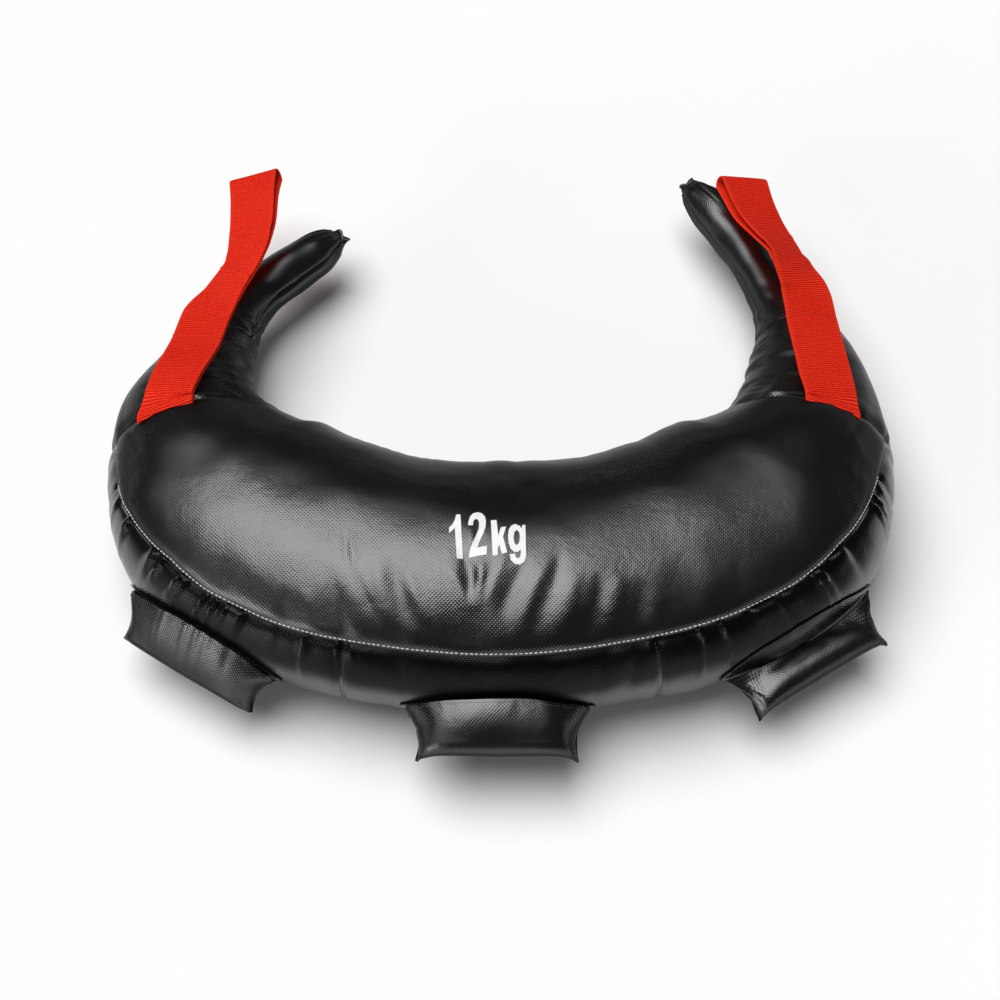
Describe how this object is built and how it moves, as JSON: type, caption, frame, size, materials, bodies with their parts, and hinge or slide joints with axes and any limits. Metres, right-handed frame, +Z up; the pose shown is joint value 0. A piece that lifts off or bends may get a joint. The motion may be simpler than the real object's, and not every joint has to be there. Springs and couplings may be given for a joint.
{
  "type": "bulgarian bag",
  "caption": "Weighted crescent training bag in black leather cloth, lying on its back panel, with horns at its ends, red webbing loops and padded grips along the outer edge.",
  "frame": {"origin": "on the floor, under the middle of the bounding box of the bag as it lies", "axes": "+Z up, +Y from the outer edge towards the horns, +X to the bag's right horn as seen from above the front panel with the horns pointing away"},
  "size_m": [0.6598, 0.5836, 0.1541],
  "materials": {
    "black_leather": "satin",
    "red_webbing": "matte",
    "white_wadding": "matte",
    "grey_canvas": "matte",
    "ballast_granulate": "matte",
    "dark_foam": "matte"
  },
  "bodies": {
    "bag": {"front_panel": "black_leather", "back_panel": "black_leather", "gusset_middle": "black_leather", "gusset_left": "black_leather", "gusset_right": "black_leather", "gusset_end_left": "black_leather", "gusset_end_right": "black_leather", "horn_root_left": "black_leather", "horn_root_right": "black_leather", "wadding_upper": "white_wadding", "wadding_lower": "white_wadding", "liner_front": "grey_canvas", "liner_back": "grey_canvas", "ballast_fill": "ballast_granulate", "horn_root_wadding_left": "white_wadding", "horn_root_wadding_right": "white_wadding", "grip_band_left": "black_leather", "grip_band_middle": "black_leather", "grip_band_right": "black_leather"},
    "horn_left": {"horn_sleeve_left": "black_leather", "horn_core_left": "white_wadding", "horn_tip_left": "black_leather"},
    "loop_left": {"strap_left": "red_webbing"},
    "horn_right": {"horn_sleeve_right": "black_leather", "horn_core_right": "white_wadding", "horn_tip_right": "black_leather"},
    "loop_right": {"strap_right": "red_webbing"},
    "grip_left": {"grip_sleeve_left": "black_leather", "grip_core_left": "dark_foam"},
    "grip_middle": {"grip_sleeve_middle": "black_leather", "grip_core_middle": "dark_foam"},
    "grip_right": {"grip_sleeve_right": "black_leather", "grip_core_right": "dark_foam"}
  },
  "joints": [
    {"name": "horn_flex_left", "type": "hinge", "parent": "bag", "child": "horn_left", "pos_m": [-0.25094, 0.09992, 0.05343], "axis": [0, 0, 1], "range_deg": [-15, 15], "stiffness_Nm_per_rad": 2},
    {"name": "horn_flex_right", "type": "hinge", "parent": "bag", "child": "horn_right", "pos_m": [0.25623, 0.11255, 0.05452], "axis": [0, 0, 1], "range_deg": [-15, 15], "stiffness_Nm_per_rad": 2},
    {"name": "strap_swing_left", "type": "hinge", "parent": "bag", "child": "loop_left", "pos_m": [-0.27609, -0.00721, 0.12926], "axis": [0.9442, 0.2469, 0.2178], "range_deg": [0, 150]},
    {"name": "strap_swing_right", "type": "hinge", "parent": "bag", "child": "loop_right", "pos_m": [0.27478, -0.00662, 0.12934], "axis": [0.9511, -0.2333, -0.2023], "range_deg": [0, 150]},
    {"name": "grip_flap_left", "type": "hinge", "parent": "bag", "child": "grip_left", "pos_m": [-0.24454, -0.1964, 0.06279], "axis": [-0.8462, 0.5329, 0], "range_deg": [0, 75]},
    {"name": "grip_flap_middle", "type": "hinge", "parent": "bag", "child": "grip_middle", "pos_m": [-0.00259, -0.25993, 0.06425], "axis": [-1, 0.0046, 0], "range_deg": [0, 60]},
    {"name": "grip_flap_right", "type": "hinge", "parent": "bag", "child": "grip_right", "pos_m": [0.24454, -0.19614, 0.06279], "axis": [-0.8462, -0.5329, 0], "range_deg": [0, 75]}
  ]
}
